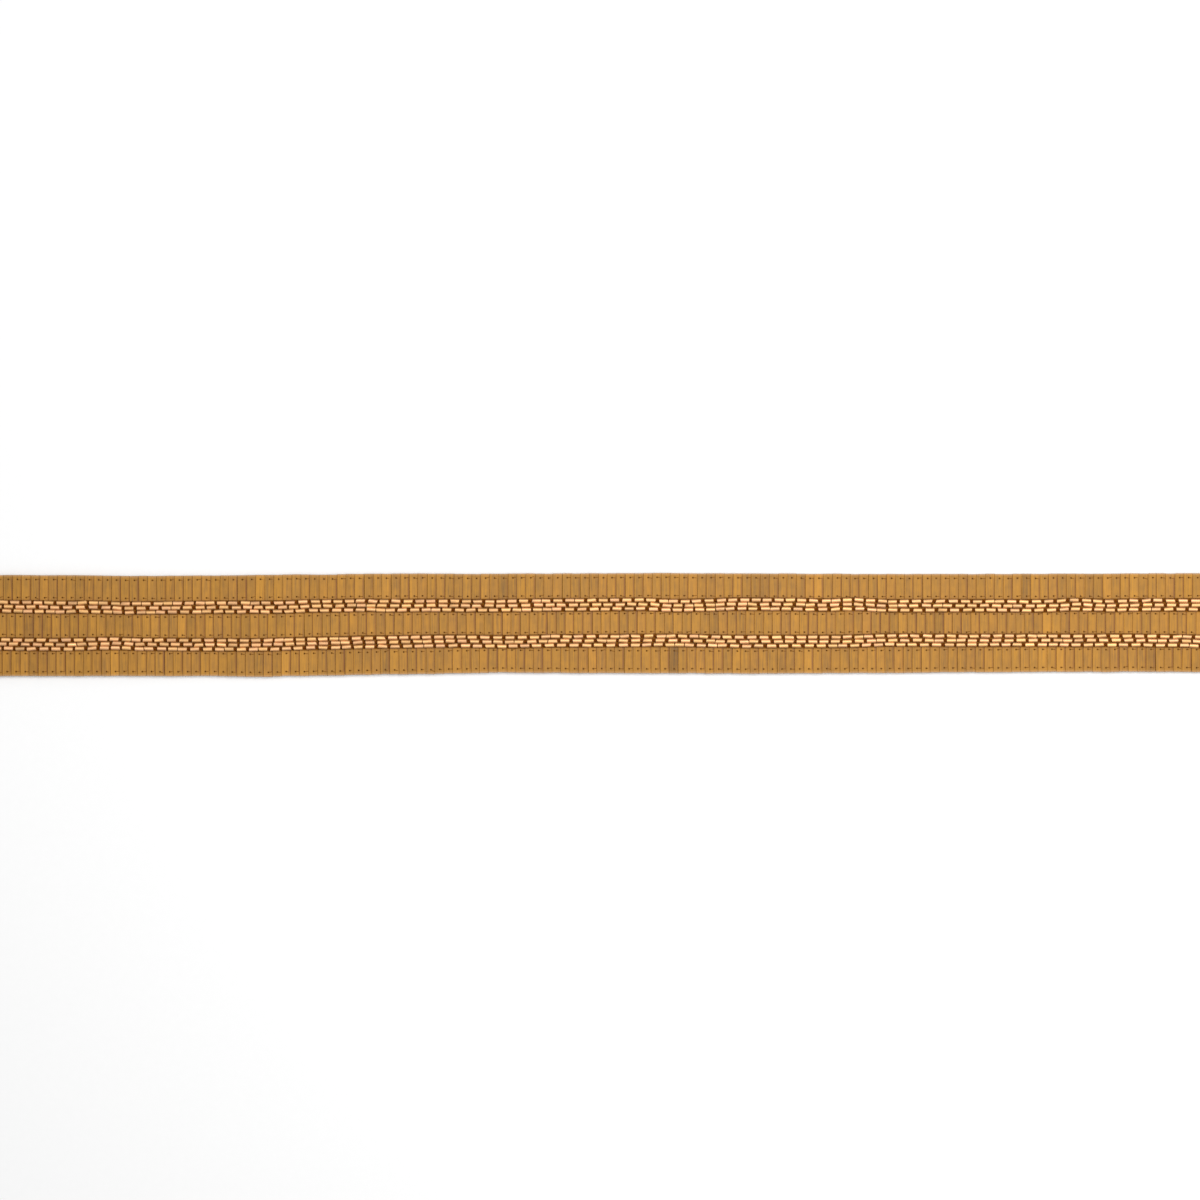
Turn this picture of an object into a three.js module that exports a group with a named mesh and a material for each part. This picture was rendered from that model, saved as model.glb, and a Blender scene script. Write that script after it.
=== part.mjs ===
// A cut length of beaded tape trim, lying flat and face up.
//
// A woven tape carries three bands of flat bars, sewn on side by side across it so that the left edge
// of each bar laps over the bar before it. Two bead lines cover the joints between the bands. Each line
// is three strands of bugle beads, which lie end to end along the tape with a little thread between.
//
// Millimetres. X runs along the tape, Y across it and Z up. The origin is the middle of its underside.
import * as THREE from "three";

// Driving dimensions
const trimLength = 400;
const tapeThickness = 1;
const tapeInset = 0.35; // from the ends of the outer bars in to the tape's own edge
const seatGap = 0.3; // between pieces that lie on or beside each other
const barPitch = 2.86;
const barThickness = 0.3;
const lapWidth = 0.2; // the slope from one bar's low edge up to the next bar's high edge
const barScatter = 0.24; // how far bars wander from their even spacing, all told
const barEndScatter = 0.24; // how far the ends of the bars stand out and in, all told
const beadLength = 2.9;
const beadDiameter = 1.38;
const beadCrest = 0.68; // width of a strand at the top of its beads
const touchingShare = 0.12; // the share of beads that touch the next one
const touchingGap = 0.15;
const leastGap = 0.55;
const gapSpread = 0.65;
const threadHeight = 0.5; // how high the thread lies between two beads
const bareEnd = 1.6; // tape left bare at each cut end
const plainStep = 5; // spacing of the points along an edge that has no ribs

// The tape's two long edges, from the left end to the right one.
const edgeStations = [
  { x: -200, upper: 16.0, lower: -16.4 },
  { x: -170, upper: 16.0, lower: -16.4 },
  { x: -150, upper: 15.65, lower: -16.35 },
  { x: -130, upper: 15.8, lower: -16.4 },
  { x: -110, upper: 16.0, lower: -16.6 },
  { x: -90, upper: 16.2, lower: -16.3 },
  { x: -70, upper: 16.4, lower: -15.9 },
  { x: -30, upper: 16.4, lower: -15.35 },
  { x: 10, upper: 16.6, lower: -15.5 },
  { x: 50, upper: 16.5, lower: -15.6 },
  { x: 90, upper: 16.35, lower: -15.4 },
  { x: 130, upper: 16.3, lower: -15.15 },
  { x: 170, upper: 16.55, lower: -15.05 },
  { x: 200, upper: 16.6, lower: -15.1 },
];

// The middle of the upper bead line.
const upperLineStations = [
  { x: -200, y: 5.95 },
  { x: -180, y: 5.7 },
  { x: -172, y: 5.52 },
  { x: -162, y: 5.63 },
  { x: -150, y: 5.3 },
  { x: -138, y: 5.42 },
  { x: -122, y: 5.56 },
  { x: -102, y: 5.6 },
  { x: -92, y: 5.95 },
  { x: -74, y: 6.2 },
  { x: -66, y: 6.08 },
  { x: -56, y: 6.17 },
  { x: -36, y: 6.07 },
  { x: -8, y: 6.35 },
  { x: 14, y: 6.5 },
  { x: 24, y: 6.07 },
  { x: 32, y: 6.22 },
  { x: 43, y: 6.57 },
  { x: 62, y: 6.45 },
  { x: 71, y: 6.24 },
  { x: 80, y: 6.55 },
  { x: 92, y: 6.05 },
  { x: 108, y: 6.1 },
  { x: 142, y: 6.03 },
  { x: 151, y: 6.47 },
  { x: 161, y: 6.1 },
  { x: 174, y: 6.35 },
  { x: 200, y: 6.25 },
];

// The middle of the lower bead line.
const lowerLineStations = [
  { x: -200, y: -6.0 },
  { x: -172, y: -6.28 },
  { x: -154, y: -5.9 },
  { x: -144, y: -6.2 },
  { x: -110, y: -6.38 },
  { x: -90, y: -5.88 },
  { x: -72, y: -5.5 },
  { x: -48, y: -5.2 },
  { x: -28, y: -5.38 },
  { x: -12, y: -5.08 },
  { x: 22, y: -4.94 },
  { x: 46, y: -5.32 },
  { x: 76, y: -5.27 },
  { x: 92, y: -4.85 },
  { x: 116, y: -4.95 },
  { x: 144, y: -4.9 },
  { x: 152, y: -4.98 },
  { x: 164, y: -4.88 },
  { x: 180, y: -5.06 },
  { x: 200, y: -5.45 },
];

const seatHeight = tapeThickness + seatGap;
const lineHalfWidth = 1.5 * beadDiameter;

// A number from 0 to 1 that looks random, and is always the same for the same row and place.
function scatter(row, place) {
  const wave = Math.sin(row * 127.1 + place * 311.7) * 43758.5453;
  return wave - Math.floor(wave);
}

// A smooth route along X through one column of a table of stations.
function routeThrough(stations, column) {
  return (x) => {
    const next = stations.findIndex((station) => station.x > x);
    if (next < 0) return stations[stations.length - 1][column];
    if (next === 0) return stations[0][column];
    const [from, to] = [stations[next - 1], stations[next]];
    const share = THREE.MathUtils.smoothstep(x, from.x, to.x);
    return THREE.MathUtils.lerp(from[column], to[column], share);
  };
}

const upperEdge = routeThrough(edgeStations, "upper");
const lowerEdge = routeThrough(edgeStations, "lower");
const upperLine = routeThrough(upperLineStations, "y");
const lowerLine = routeThrough(lowerLineStations, "y");

// The three bands of bars. start is where the first bar begins, and upper and lower bound the band.
const bandTable = [
  {
    name: "bars_upper",
    row: 1,
    start: -197.9,
    upper: upperEdge,
    lower: (x) => upperLine(x) + lineHalfWidth + seatGap / 2,
  },
  {
    name: "bars_middle",
    row: 2,
    start: -196.9,
    upper: (x) => upperLine(x) - lineHalfWidth - seatGap / 2,
    lower: (x) => lowerLine(x) + lineHalfWidth + seatGap / 2,
  },
  {
    name: "bars_lower",
    row: 3,
    start: -198.3,
    upper: (x) => lowerLine(x) - lineHalfWidth - seatGap / 2,
    lower: lowerEdge,
  },
];

// The six strands of beads. side counts rows from the middle of the strand's line.
const strandTable = [
  { name: "beads_upper_1", row: 11, start: -198.1, line: upperLine, side: 1 },
  { name: "beads_upper_2", row: 12, start: -196.9, line: upperLine, side: 0 },
  { name: "beads_upper_3", row: 13, start: -197.6, line: upperLine, side: -1 },
  { name: "beads_lower_1", row: 14, start: -197.4, line: lowerLine, side: 1 },
  { name: "beads_lower_2", row: 15, start: -198.3, line: lowerLine, side: 0 },
  { name: "beads_lower_3", row: 16, start: -196.8, line: lowerLine, side: -1 },
];

const materials = {
  tape: new THREE.MeshStandardMaterial({ color: 0x9c6f3f, roughness: 0.9, metalness: 0 }),
  bars: new THREE.MeshStandardMaterial({ color: 0xba8844, roughness: 0.5, metalness: 0.25 }),
  beads: new THREE.MeshStandardMaterial({ color: 0xe8b478, roughness: 0.28, metalness: 0.7 }),
};

// The places where one bar gives way to the next, from a band's first bar to its last.
function barBounds({ row, start }) {
  const bounds = [];
  for (let x = start; x <= trimLength / 2 - bareEnd; x += barPitch) {
    bounds.push(x + (scatter(row, bounds.length) - 0.5) * barScatter);
  }
  return bounds;
}

// The two ends of each bead in a strand.
function beadSpans({ row, start }) {
  const spans = [];
  let x = start;
  while (x + beadLength <= trimLength / 2 - bareEnd) {
    spans.push({ from: x, to: x + beadLength });
    const touching = scatter(row, 2 * spans.length) < touchingShare;
    const open = leastGap + gapSpread * scatter(row, 2 * spans.length + 1);
    x += beadLength + (touching ? touchingGap : open);
  }
  return spans;
}

// The triangles between two rows of points that run along X. They face along the cross product of X
// and the way from the first row to the second.
function facesBetween(points, first, second) {
  const faces = [];
  let [i, j] = [0, 0];
  while (i < first.length - 1 || j < second.length - 1) {
    const firstNext = i < first.length - 1 ? points[first[i + 1]].x : Infinity;
    const secondNext = j < second.length - 1 ? points[second[j + 1]].x : Infinity;
    if (firstNext <= secondNext) {
      faces.push(first[i], first[i + 1], second[j]);
      i += 1;
    } else {
      faces.push(first[i], second[j + 1], second[j]);
      j += 1;
    }
  }
  return faces;
}

// A solid whose top follows a ribbed outline of [x, height] points, with a flat base, and whose sides
// follow two routes.
function ribbedStrip(outline, upperSide, lowerSide) {
  const left = outline[0][0];
  const right = outline[outline.length - 1][0];
  const baseSteps = Math.ceil((right - left) / plainStep);
  const base = Array.from({ length: baseSteps + 1 }, (_, step) => [
    THREE.MathUtils.lerp(left, right, step / baseSteps),
    0,
  ]);
  const points = [];
  const rowAlong = (line, side) =>
    line.map(([x, height]) => points.push(new THREE.Vector3(x, side(x, height), seatHeight + height)) - 1);
  const topUpper = rowAlong(outline, upperSide);
  const topLower = rowAlong(outline, lowerSide);
  const baseUpper = rowAlong(base, upperSide);
  const baseLower = rowAlong(base, lowerSide);
  const walls = [
    facesBetween(points, topLower, topUpper),
    facesBetween(points, topUpper, baseUpper),
    facesBetween(points, baseUpper, baseLower),
    facesBetween(points, baseLower, topLower),
  ];
  const [lastTop, lastBase] = [outline.length - 1, baseSteps];
  const ends = [
    [topUpper[0], baseUpper[0], baseLower[0]],
    [topUpper[0], baseLower[0], topLower[0]],
    [topUpper[lastTop], baseLower[lastBase], baseUpper[lastBase]],
    [topUpper[lastTop], topLower[lastTop], baseLower[lastBase]],
  ];
  const faces = [...walls, ...ends].flat();
  const strip = new THREE.BufferGeometry().setFromPoints(points).setIndex(faces).toNonIndexed();
  strip.computeVertexNormals();
  return strip;
}

// The woven tape: a flat sheet whose edges follow the ends of the outer bars, a little inside them.
function tapeGeometry() {
  const steps = trimLength / plainStep;
  const stations = Array.from({ length: steps + 1 }, (_, step) => step * plainStep - trimLength / 2);
  const upperPoints = stations.map((x) => new THREE.Vector2(x, upperEdge(x) - tapeInset));
  const lowerPoints = stations.map((x) => new THREE.Vector2(x, lowerEdge(x) + tapeInset));
  const outline = new THREE.Shape([...lowerPoints, ...upperPoints.reverse()]);
  return new THREE.ExtrudeGeometry(outline, { depth: tapeThickness, bevelEnabled: false });
}

// A band of lapped bars. Each one slopes from its high left edge down to its low right edge.
function bandGeometry(band) {
  const bounds = barBounds(band);
  const outline = [];
  for (let i = 0; i < bounds.length - 1; i += 1) {
    outline.push([bounds[i], 2 * barThickness], [bounds[i + 1] - lapWidth, barThickness]);
  }
  const standsOut = (x) => (scatter(band.row, Math.round(x / barPitch)) - 0.5) * barEndScatter;
  const upperSide = band.upper === upperEdge ? (x) => upperEdge(x) + standsOut(x) : band.upper;
  const lowerSide = band.lower === lowerEdge ? (x) => lowerEdge(x) + standsOut(x) : band.lower;
  return ribbedStrip(outline, upperSide, lowerSide);
}

// A strand of beads, notched down to its thread between one bead and the next.
function strandGeometry(strand) {
  const spans = beadSpans(strand);
  const outline = [];
  spans.forEach(({ from, to }, i) => {
    outline.push([from, beadDiameter], [to, beadDiameter]);
    if (i < spans.length - 1) outline.push([(to + spans[i + 1].from) / 2, threadHeight]);
  });
  const baseWidth = beadDiameter - seatGap;
  const halfWidth = (height) => THREE.MathUtils.lerp(baseWidth, beadCrest, height / beadDiameter) / 2;
  const middle = (x) => strand.line(x) + strand.side * beadDiameter;
  const upperSide = (x, height) => middle(x) + halfWidth(height);
  const lowerSide = (x, height) => middle(x) - halfWidth(height);
  return ribbedStrip(outline, upperSide, lowerSide);
}

function addPiece(group, name, geometry, material) {
  const piece = new THREE.Mesh(geometry, material);
  piece.name = name;
  group.add(piece);
}

function beadedTrim() {
  const trim = new THREE.Group();
  addPiece(trim, "tape", tapeGeometry(), materials.tape);
  for (const band of bandTable) addPiece(trim, band.name, bandGeometry(band), materials.bars);
  for (const strand of strandTable) addPiece(trim, strand.name, strandGeometry(strand), materials.beads);
  return trim;
}

export default beadedTrim();
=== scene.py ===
# The looks of a cut length of beaded tape trim, lying flat and face up, in metres.
#
# A ribbed woven tape carries three bands of flat bars. Each bar has two holes and is sewn down through
# them, and its left edge lies on the bar before it. Two bead lines cover the joints between the bands.
# Each is three strands of bugle beads on thread, and a stitch between beads holds each strand down.
import math
import random

import bpy
import numpy as np
from mathutils import Matrix, Vector


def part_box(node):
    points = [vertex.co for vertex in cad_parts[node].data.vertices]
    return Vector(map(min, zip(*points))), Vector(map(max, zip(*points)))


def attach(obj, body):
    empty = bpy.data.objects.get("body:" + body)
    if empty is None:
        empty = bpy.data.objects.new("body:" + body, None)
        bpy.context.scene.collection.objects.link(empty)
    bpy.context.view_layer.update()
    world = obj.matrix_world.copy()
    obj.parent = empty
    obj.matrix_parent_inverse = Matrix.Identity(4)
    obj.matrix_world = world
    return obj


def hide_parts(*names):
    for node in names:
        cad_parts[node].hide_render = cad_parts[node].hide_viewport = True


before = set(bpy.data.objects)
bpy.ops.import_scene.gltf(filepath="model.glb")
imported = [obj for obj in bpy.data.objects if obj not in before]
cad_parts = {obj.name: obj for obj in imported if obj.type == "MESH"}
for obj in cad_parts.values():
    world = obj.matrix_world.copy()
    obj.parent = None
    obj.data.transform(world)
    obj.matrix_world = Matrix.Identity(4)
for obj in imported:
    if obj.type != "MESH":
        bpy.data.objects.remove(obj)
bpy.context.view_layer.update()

bl_info = {
    "name": "Beaded Tape Trim",
    "version": (1, 0, 0),
    "blender": (4, 5, 0),
    "location": "3D View > Sidebar > Trim",
    "description": "Dresses a flat length of tape trim with lapped bars, bugle beads and thread",
    "category": "Object",
}

MM = 0.001
PHOTO_PIXELS = 1200
PHOTO_SCALE = 3.15 / MM  # pixels of the photo for each metre of trim
PHOTO_CENTRE_Y = 7.9 * MM  # the photo's middle row, across the trim

BANDS = ("bars_upper", "bars_middle", "bars_lower")
STRANDS = (
    "beads_upper_1",
    "beads_upper_2",
    "beads_upper_3",
    "beads_lower_1",
    "beads_lower_2",
    "beads_lower_3",
)
SEAT_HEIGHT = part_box(BANDS[0])[0][2]  # where bars and beads are laid
BAR_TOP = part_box(BANDS[0])[1][2]
NO_SUCH_END = 99.0  # the distance from an end that a bar doesn't have, in millimetres
SOLID_CLEARANCE = 0.15 * MM  # from the bars' solids to the room that the beads take up
TOLERANCE = 0.01 * MM  # places closer together than this count as one

BAR_SEED = 100
BEAD_SEED = 200
COUCHING_SEED = 300
STITCH_SEED = 400
BACK_SEED = 500


def length_value(name, description, default):
    """A size that a user may change, in metres."""
    return bpy.props.FloatProperty(
        name=name, description=description, default=default, unit="LENGTH", precision=6
    )


def angle_value(name, description, degrees):
    """An angle that a user may change."""
    return bpy.props.FloatProperty(
        name=name, description=description, default=math.radians(degrees), subtype="ANGLE"
    )


def colour_value(name, description, default):
    """A colour that a user may change, in linear light."""
    return bpy.props.FloatVectorProperty(
        name=name, description=description, default=default, subtype="COLOR", size=3, min=0, max=1
    )


def share_value(name, description, default):
    """A share from 0 to 1 that a user may change."""
    return bpy.props.FloatProperty(
        name=name, description=description, default=default, subtype="FACTOR", min=0, max=1
    )


class TapeSettings(bpy.types.PropertyGroup):
    """The woven tape that everything is sewn to."""

    colour: colour_value("Colour", "Colour of the tape's yarn", (0.25, 0.088, 0.008))
    back_relief: length_value("Back relief", "How far stitches stand out of the back", 0.25 * MM)
    rib_pitch: length_value("Rib pitch", "From one cross rib to the next", 1.2 * MM)
    rib_relief: length_value("Rib relief", "How far a rib stands out", 0.05 * MM)
    warp_pitch: length_value("Warp pitch", "From one lengthwise yarn to the next", 0.45 * MM)
    headroom: length_value("Headroom", "Left free under the bars", 0.06 * MM)


class BarSettings(bpy.types.PropertyGroup):
    """The flat bars and how they are laid."""

    colour: colour_value("Colour", "Colour of the lacquer", (0.303, 0.136, 0.0086))
    # The colour of the painted shadow in the laps and of the painted shade beside the beads; the bars are
    # also darkened towards it round their holes.
    lap_shade_colour: colour_value("Lap colour", "Colour of the shadow in the laps", (0.13, 0.034, 0.003))
    width: length_value("Width", "Width of one bar", 3.0 * MM)
    thickness: length_value("Thickness", "Thickness of one bar", 0.3 * MM)
    edge_bevel: length_value("Edge bevel", "Bevel round the top", 0.06 * MM)
    hole_spacing: length_value("Hole spacing", "Between a bar's two holes", 5.75 * MM)
    hole_radius: length_value("Hole radius", "Radius of a hole", 0.26 * MM)
    outer_margin: length_value("Outer margin", "From the outer hole to the bar's end", 1.55 * MM)
    outer_inset: length_value("Outer inset", "How far outer ends stop short of the solid", 0.18 * MM)
    bead_clearance: length_value("Bead clearance", "From a bar's end to the beads' room", 0.08 * MM)
    air: length_value("Air", "Left under a laid bar", 0.03 * MM)
    slope_spread: share_value("Slope spread", "How much the bars differ in slope", 0.25)
    turn_spread: angle_value("Turn spread", "How far bars turn off their line", 0.35)
    tone_spread: share_value("Tone spread", "How much the bars differ in tone", 0.95)


class BeadSettings(bpy.types.PropertyGroup):
    """The bugle beads."""

    colour: colour_value("Colour", "Colour of the metallic coat", (0.765, 0.435, 0.165))
    diameter: length_value("Diameter", "Outside diameter of a bead", 1.31 * MM)
    bore: length_value("Bore", "Diameter of a bead's bore", 0.62 * MM)
    rim_bevel: length_value("Rim bevel", "Bevel round a bead's cut ends", 0.07 * MM)
    end_slant: angle_value("End slant", "How far the cut ends are off square", 9)
    turn_spread: angle_value("Turn spread", "How far beads turn off their line when fully uneven", 4)
    shift_spread: length_value("Shift spread", "How far a bead may lie off its line", 0.1 * MM)
    sink: length_value("Sink", "How far a bead may lie low", 0.02 * MM)
    rise: length_value("Rise", "How far a bead may lie high", 0.04 * MM)
    unevenness: share_value("Unevenness", "How far beads turn and shift off their line", 0.5)
    tone_spread: share_value("Tone spread", "How much the beads differ in tone", 0.7)


class ThreadSettings(bpy.types.PropertyGroup):
    """The stringing and sewing thread."""

    colour: colour_value("Colour", "Colour of the stringing thread", (0.19, 0.043, 0.003))
    stitch_colour: colour_value("Stitch colour", "Colour of the sewing thread", (0.25, 0.1, 0.011))
    strand_diameter: length_value("Strand diameter", "Thread through the beads", 0.34 * MM)
    stitch_diameter: length_value("Stitch diameter", "Sewing thread", 0.19 * MM)
    couching_diameter: length_value("Couching diameter", "Thread that holds a strand down", 0.247 * MM)
    couching_reach: length_value("Couching reach", "From a strand to its stitches' feet", 0.36 * MM)
    couching_gap: length_value("Couching gap", "Least gap between beads that has a stitch", 0.3 * MM)
    back_length: length_value("Back length", "Length of a bar's stitch on the back", 1.5 * MM)


class StageSettings(bpy.types.PropertyGroup):
    """The floor, the light and the camera."""

    floor_colour: colour_value("Floor", "Colour of the floor", (0.86, 0.86, 0.86))
    floor_size: length_value("Floor size", "Length of the floor's sides", 12.0)
    floor_drop: length_value("Floor drop", "How far the floor lies below the tape", 0.02 * MM)
    camera_height: length_value("Camera height", "Height of the camera above the floor", 3.0)
    key_distance: length_value("Key distance", "From the trim to the soft light", 1.0)
    key_side: length_value("Key side", "How far the soft light stands to the right", 0.26)
    key_angle: angle_value("Key angle", "How high the soft light stands, from the trim's far side", 81)
    key_length: length_value("Key length", "Length of the soft light", 0.8)
    key_width: length_value("Key width", "Width of the soft light", 0.6)
    key_strength: bpy.props.FloatProperty(
        name="Key light", description="Power of the soft light", default=11.0, unit="POWER"
    )
    fill_strength: share_value("Fill light", "Strength of the light from all round", 0.42)


def clear_selection():
    """Leaves object mode with nothing selected."""
    if bpy.context.object and bpy.context.object.mode != "OBJECT":
        bpy.ops.object.mode_set(mode="OBJECT")
    bpy.ops.object.select_all(action="DESELECT")


def only(piece):
    """Selects one object alone and makes it the active one."""
    clear_selection()
    piece.select_set(True)
    bpy.context.view_layer.objects.active = piece
    return piece


def finish_piece(piece, slot, material, *nodes):
    """Gives a piece its material, hangs it from the root body and hides the CAD nodes that it stands for."""
    piece.data.materials.clear()
    piece.data.materials.append(material)
    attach(piece, "root")
    if nodes:
        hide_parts(*nodes)


def node_corners(node, level):
    """The corners of a CAD node at one of its heights, as (x, lowest y, highest y) from left to right."""
    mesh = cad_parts[node].data
    points = np.empty(3 * len(mesh.vertices))
    mesh.vertices.foreach_get("co", points)
    points = np.unique(points.reshape(-1, 3).round(6), axis=0)
    heights = np.unique(points[:, 2])
    at_level = points[points[:, 2] == heights[level]]
    rows = []
    for x in np.unique(at_level[:, 0]):
        across = at_level[at_level[:, 0] == x, 1]
        rows.append((float(x), float(across.min()), float(across.max())))
    return rows


def bars_of(node):
    """Each bar of a band, as (left edge, lowest end, highest end)."""
    high_edges = node_corners(node, -1)
    low_edges = node_corners(node, 1)
    return [
        (left, (low_end + other_low) / 2, (high_end + other_high) / 2)
        for (left, low_end, high_end), (_, other_low, other_high) in zip(high_edges, low_edges)
    ]


def beads_of(node):
    """Each bead of a strand, as its two ends on the strand's centre line."""
    ends = [(x, (low + high) / 2) for x, low, high in node_corners(node, -1)]
    return list(zip(ends[0::2], ends[1::2]))


def template_of(piece):
    """Takes a modelled object apart into its points and faces, and removes it."""
    mesh = piece.data
    points = np.array([vertex.co for vertex in mesh.vertices])
    faces = [tuple(face.vertices) for face in mesh.polygons]
    bpy.data.objects.remove(piece)
    return points, faces


def joined_copies(name, faces, copies, values=()):
    """One mesh of many copies of a template. Each copy is its own points, and values are its attributes.

    values is a list of (attribute name, type, one array for each copy)."""
    count = len(copies[0])
    mesh = bpy.data.meshes.new(name)
    all_faces = [tuple(corner + i * count for corner in face) for i in range(len(copies)) for face in faces]
    mesh.from_pydata(np.concatenate(copies), [], all_faces)
    for attribute, kind, per_copy in values:
        layer = mesh.attributes.new(attribute, kind, "POINT")
        socket = "vector" if kind == "FLOAT_VECTOR" else "value"
        layer.data.foreach_set(socket, np.concatenate(per_copy).ravel())
    piece = bpy.data.objects.new(name, mesh)
    bpy.context.collection.objects.link(piece)
    return piece


def same_for_all(count, value):
    """One value for every point of a copy."""
    return np.full(count, value)


def thread_template(path, diameter):
    """A short bent thread along a path, as points and faces."""
    curve = bpy.data.curves.new("thread", "CURVE")
    curve.dimensions = "3D"
    curve.bevel_depth = diameter / 2
    curve.bevel_resolution = 0
    curve.use_fill_caps = True
    spline = curve.splines.new("POLY")
    spline.points.add(len(path) - 1)
    for point, place in zip(spline.points, path):
        point.co = (*place, 1)
    thread = bpy.data.objects.new("thread", curve)
    bpy.context.collection.objects.link(thread)
    only(thread)
    bpy.ops.object.convert(target="MESH")
    bpy.ops.object.mode_set(mode="EDIT")
    bpy.ops.mesh.select_all(action="SELECT")
    bpy.ops.mesh.remove_doubles(threshold=diameter / 100)
    bpy.ops.mesh.normals_make_consistent(inside=False)
    bpy.ops.object.mode_set(mode="OBJECT")
    return template_of(bpy.context.object)


def arch(span, rise, steps, sink=0.0):
    """The points of an arch along X from 0 to span. Its feet go down by sink."""
    points = [(0, 0, -sink)]
    for step in range(steps + 1):
        share = step / steps
        points.append((span * share, 0, rise * math.sin(math.pi * share)))
    return points + [(span, 0, -sink)]


def group_sockets(group, inputs, outputs):
    """Gives a node group its named inputs and outputs. inputs holds (name, type, default)."""
    for name, kind, default in inputs:
        socket = group.interface.new_socket(name, in_out="INPUT", socket_type=kind)
        socket.default_value = default
    for name, kind in outputs:
        group.interface.new_socket(name, in_out="OUTPUT", socket_type=kind)


class Nodes:
    """A short way to add nodes to a tree and join them."""

    def __init__(self, tree):
        self.tree = tree

    def add(self, kind, settings=None, **links):
        """Adds a node. links are its inputs by name or number, as sockets to join or as values."""
        node = self.tree.nodes.new(kind)
        for name, value in (settings or {}).items():
            setattr(node, name, value)
        for name, value in links.items():
            key = int(name[1:]) if name[0] == "_" else name.replace("_", " ")
            self.join(node.inputs[key], value)
        return node

    def join(self, socket, value):
        """Joins a socket to another one, or sets its value."""
        if isinstance(value, bpy.types.NodeSocket):
            self.tree.links.new(value, socket)
        else:
            socket.default_value = value

    def math(self, operation, first, second=0.0, third=0.0):
        """The result of a Math node."""
        settings = {"operation": operation}
        return self.add("ShaderNodeMath", settings, _0=first, _1=second, _2=third).outputs[0]

    def mix(self, share, first, second):
        """A mix of two colours."""
        settings = {"data_type": "RGBA"}
        return self.add("ShaderNodeMix", settings, _0=share, _6=first, _7=second).outputs[2]

    def ramp_down(self, value, start, end, top=1.0):
        """top up to start, falling smoothly to 0 at end."""
        settings = {"interpolation_type": "SMOOTHSTEP"}
        node = self.add("ShaderNodeMapRange", settings, Value=value, From_Min=start, From_Max=end)
        node.inputs["To Min"].default_value = top
        node.inputs["To Max"].default_value = 0
        return node.outputs[0]

    def noise(self, place, scale, detail=2.0):
        """A noise value, which lies about 0.5."""
        return self.add("ShaderNodeTexNoise", Vector=place, Scale=scale, Detail=detail).outputs[0]

    def swing(self, noise, strength):
        """A noise value moved to lie about 0, times a strength."""
        return self.math("MULTIPLY", self.math("SUBTRACT", noise, 0.5), strength)

    def place_group(self, group, **links):
        """Places a node group."""
        return self.add("ShaderNodeGroup", {"node_tree": group}, **links)

    def attribute(self, name, output="Fac"):
        """A piece's own attribute, as a number or as its Vector output."""
        return self.add("ShaderNodeAttribute", {"attribute_name": name}).outputs[output]

    def bump(self, shader, height, distance, strength):
        """Joins a height to a shader's normal through a bump."""
        node = self.add("ShaderNodeBump", Height=height, Distance=distance, Strength=strength)
        self.join(shader.inputs["Normal"], node.outputs[0])


def tone_group():
    """Shifts a colour by a piece's own tone, and towards a warmer colour by its own warmth."""
    group = bpy.data.node_groups.new("Piece tone", "ShaderNodeTree")
    inputs = [
        ("Colour", "NodeSocketColor", (0.5, 0.5, 0.5, 1)),
        ("Warm Colour", "NodeSocketColor", (0.5, 0.4, 0.3, 1)),
        ("Tone", "NodeSocketFloat", 0.0),
        ("Warmth", "NodeSocketFloat", 0.0),
        ("Spread", "NodeSocketFloat", 0.1),
    ]
    group_sockets(group, inputs, [("Colour", "NodeSocketColor")])
    nodes = Nodes(group)
    given = nodes.add("NodeGroupInput")
    result = nodes.add("NodeGroupOutput")
    warmed = nodes.mix(given.outputs["Warmth"], given.outputs["Colour"], given.outputs["Warm Colour"])
    change = nodes.math("MULTIPLY_ADD", given.outputs["Tone"], given.outputs["Spread"], 1.0)
    toned = nodes.add("ShaderNodeVectorMath", {"operation": "SCALE"}, _0=warmed, Scale=change)
    nodes.join(result.inputs["Colour"], toned.outputs[0])
    return group


def weave_group():
    """A plain weave on Object coordinates, as a height and a painted shade that is darker between the yarns.
    """
    group = bpy.data.node_groups.new("Plain weave", "ShaderNodeTree")
    inputs = [
        ("Warp Pitch", "NodeSocketFloat", 0.0004),
        ("Weft Pitch", "NodeSocketFloat", 0.0006),
    ]
    group_sockets(group, inputs, [("Height", "NodeSocketFloat"), ("Shade", "NodeSocketFloat")])
    nodes = Nodes(group)
    given = nodes.add("NodeGroupInput")
    result = nodes.add("NodeGroupOutput")
    place = nodes.add("ShaderNodeTexCoord").outputs["Object"]
    sides = nodes.add("ShaderNodeSeparateXYZ", Vector=place)
    weft_turn = nodes.math("DIVIDE", sides.outputs["X"], given.outputs["Weft Pitch"])
    warp_turn = nodes.math("DIVIDE", sides.outputs["Y"], given.outputs["Warp Pitch"])
    weft_wave = nodes.math("SINE", nodes.math("MULTIPLY", weft_turn, math.pi))
    warp_wave = nodes.math("SINE", nodes.math("MULTIPLY", warp_turn, math.pi))
    crossing = nodes.math("MULTIPLY", weft_wave, warp_wave)
    over = nodes.math("ABSOLUTE", crossing)

    fibres_per_metre = 9000.0
    fibre_height = 0.35  # where a crossing of yarns is 1 high
    gap_shade = 0.6  # painted shade between yarns, where their crossings have 1
    fibres = nodes.noise(place, fibres_per_metre)
    nodes.join(result.inputs["Height"], nodes.math("MULTIPLY_ADD", fibres, fibre_height, over))
    nodes.join(result.inputs["Shade"], nodes.math("MULTIPLY_ADD", over, 1 - gap_shade, gap_shade))
    return group


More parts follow.
